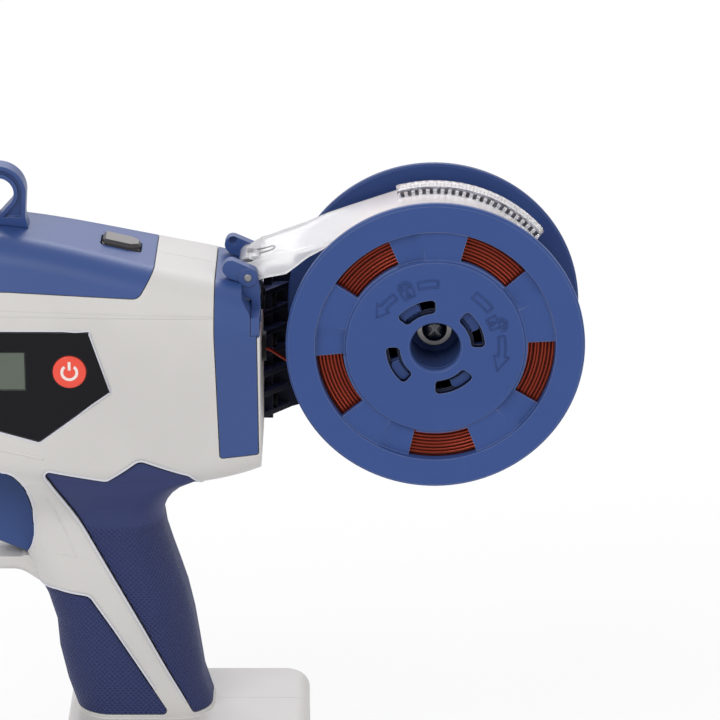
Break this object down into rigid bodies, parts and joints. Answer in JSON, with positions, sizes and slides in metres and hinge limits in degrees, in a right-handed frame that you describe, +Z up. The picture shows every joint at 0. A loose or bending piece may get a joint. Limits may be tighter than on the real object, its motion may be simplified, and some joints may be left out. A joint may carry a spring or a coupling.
{
  "type": "electric vine tying tool",
  "caption": "Cordless pistol tool with a rear wire spool under a clear hinged guard; a hook loops the wire round a shoot and a twister ties it.",
  "frame": {"origin": "middle of the flat bottom of the battery, which the tool stands on", "axes": "+Z up, -X towards the nose and jaws, +X towards the wire spool, -Y towards the display side"},
  "size_m": [0.3311, 0.0687, 0.2568],
  "materials": {
    "shell_grey": "fine spark-eroded texture",
    "trim_blue": "satin moulded",
    "button_grey": "satin moulded",
    "panel_black": "gloss",
    "lcd_green": "gloss window",
    "button_red": "gloss",
    "board_green": "solder mask",
    "grip_navy": "knurled soft grip",
    "trigger_blue": "satin moulded",
    "inner_black": "matt",
    "steel": "zinc plated",
    "spring_dark": "oiled spring steel",
    "bracket_dark": "glass-filled, matt",
    "spool_blue": "satin moulded",
    "wire_coat": "coated tying wire",
    "guard_clear": "clear moulded",
    "motor_metal": "turned",
    "brass": "drawn tube",
    "nose_metal": "cast, bead blasted",
    "battery_dark": "fine texture",
    "cell_sleeve": "sleeved cells"
  },
  "bodies": {
    "housing": {"left_shell": "shell_grey", "right_shell": "shell_grey", "top_cover": "trim_blue", "hanging_eye": "trim_blue", "rear_band": "trim_blue", "display_panel": "panel_black", "lcd_display": "lcd_green", "control_board": "board_green", "grip_rear_pad": "grip_navy", "grip_front_pad": "grip_navy", "trigger_switch": "inner_black", "housing_screws": "steel", "spool_bracket": "bracket_dark", "bracket_screws": "spring_dark", "spool_axle": "steel", "axle_washer": "steel", "axle_screw": "spring_dark", "tie_wire": "wire_coat", "hinge_yoke": "trim_blue", "hinge_pin": "steel", "guard_spring": "spring_dark", "drive_motor": "motor_metal", "drive_gearbox": "motor_metal", "twister_bearing": "steel", "feed_frame": "steel", "idler_pin": "steel", "feed_motor": "motor_metal", "wire_inlet": "inner_black", "wire_guide_tube": "brass", "hook_actuator": "motor_metal", "hook_pin": "steel", "lower_jaw": "steel", "nose_housing": "nose_metal", "nose_screws": "steel", "cutter_blade": "steel", "terminal_block": "inner_black"},
    "feed_button": {"feed_button": "button_grey"},
    "power_button": {"power_button": "button_red"},
    "trigger": {"trigger": "trigger_blue", "switch_plunger": "inner_black"},
    "spool": {"spool_core": "spool_blue", "wire_coil": "wire_coat", "wire_outer_layer": "wire_coat"},
    "lock_flange": {"lock_flange": "spool_blue"},
    "coil_guard": {"coil_guard": "guard_clear"},
    "binding_hook": {"binding_hook": "steel"},
    "push_rod": {"hook_push_rod": "steel"},
    "twister": {"twister_shaft": "steel", "twister_head": "steel"},
    "feed_roller": {"feed_roller": "steel"},
    "idler_roller": {"idler_roller": "steel"},
    "battery": {"battery_case": "battery_dark", "battery_lid": "battery_dark", "battery_cells": "cell_sleeve"},
    "battery_latch": {"battery_latch": "trim_blue"}
  },
  "joints": [
    {"name": "feed_button_press", "type": "slide", "parent": "housing", "child": "feed_button", "axis": [-0.225, 0, -0.9744], "range_m": [0, 0.0015], "stiffness_N_per_m": 900, "springref_m": -0.0015},
    {"name": "power_button_press", "type": "slide", "parent": "housing", "child": "power_button", "axis": [0, 1, 0], "range_m": [0, 0.0008], "stiffness_N_per_m": 1200, "springref_m": -0.001},
    {"name": "trigger_pull", "type": "slide", "parent": "housing", "child": "trigger", "axis": [1, 0, 0], "range_m": [0, 0.006], "stiffness_N_per_m": 600, "springref_m": -0.004},
    {"name": "spool_turn", "type": "hinge", "parent": "housing", "child": "spool", "pos_m": [0.085, 0, 0.2], "axis": [0, 1, 0], "continuous": true},
    {"name": "flange_lock", "type": "hinge", "parent": "spool", "child": "lock_flange", "pos_m": [0.085, -0.0225, 0.2], "axis": [0, -1, 0], "range_deg": [0, 21]},
    {"name": "guard_lift", "type": "hinge", "parent": "housing", "child": "coil_guard", "pos_m": [0.0224, 0, 0.2215], "axis": [0, -1, 0], "range_deg": [0, 95], "stiffness_Nm_per_rad": 0.03, "springref_deg": -34.38},
    {"name": "hook_swing", "type": "hinge", "parent": "housing", "child": "binding_hook", "pos_m": [-0.139, 0, 0.2125], "axis": [0, -1, 0], "range_deg": [0, 45]},
    {"name": "push_rod_slide", "type": "slide", "parent": "housing", "child": "push_rod", "axis": [-1, 0, 0], "range_m": [0, 0.0052]},
    {"name": "twister_turn", "type": "hinge", "parent": "housing", "child": "twister", "pos_m": [-0.14, 0, 0.182], "axis": [1, 0, 0], "continuous": true},
    {"name": "feed_roller_turn", "type": "hinge", "parent": "housing", "child": "feed_roller", "pos_m": [-0.1, 0, 0.1983], "axis": [0, 1, 0], "continuous": true},
    {"name": "idler_roller_turn", "type": "hinge", "parent": "housing", "child": "idler_roller", "pos_m": [-0.1, 0, 0.2097], "axis": [0, 1, 0], "continuous": true},
    {"name": "battery_slide", "type": "slide", "parent": "housing", "child": "battery", "axis": [-1, 0, 0], "range_m": [0, 0.076]},
    {"name": "battery_latch_press", "type": "slide", "parent": "battery", "child": "battery_latch", "axis": [1, 0, 0], "range_m": [0, 0.0025], "stiffness_N_per_m": 800, "springref_m": -0.002}
  ],
  "couplings": [
    {"joint": "push_rod_slide", "follows": "hook_swing", "m_per_rad": 0.006334},
    {"joint": "idler_roller_turn", "follows": "feed_roller_turn", "ratio": -1}
  ]
}
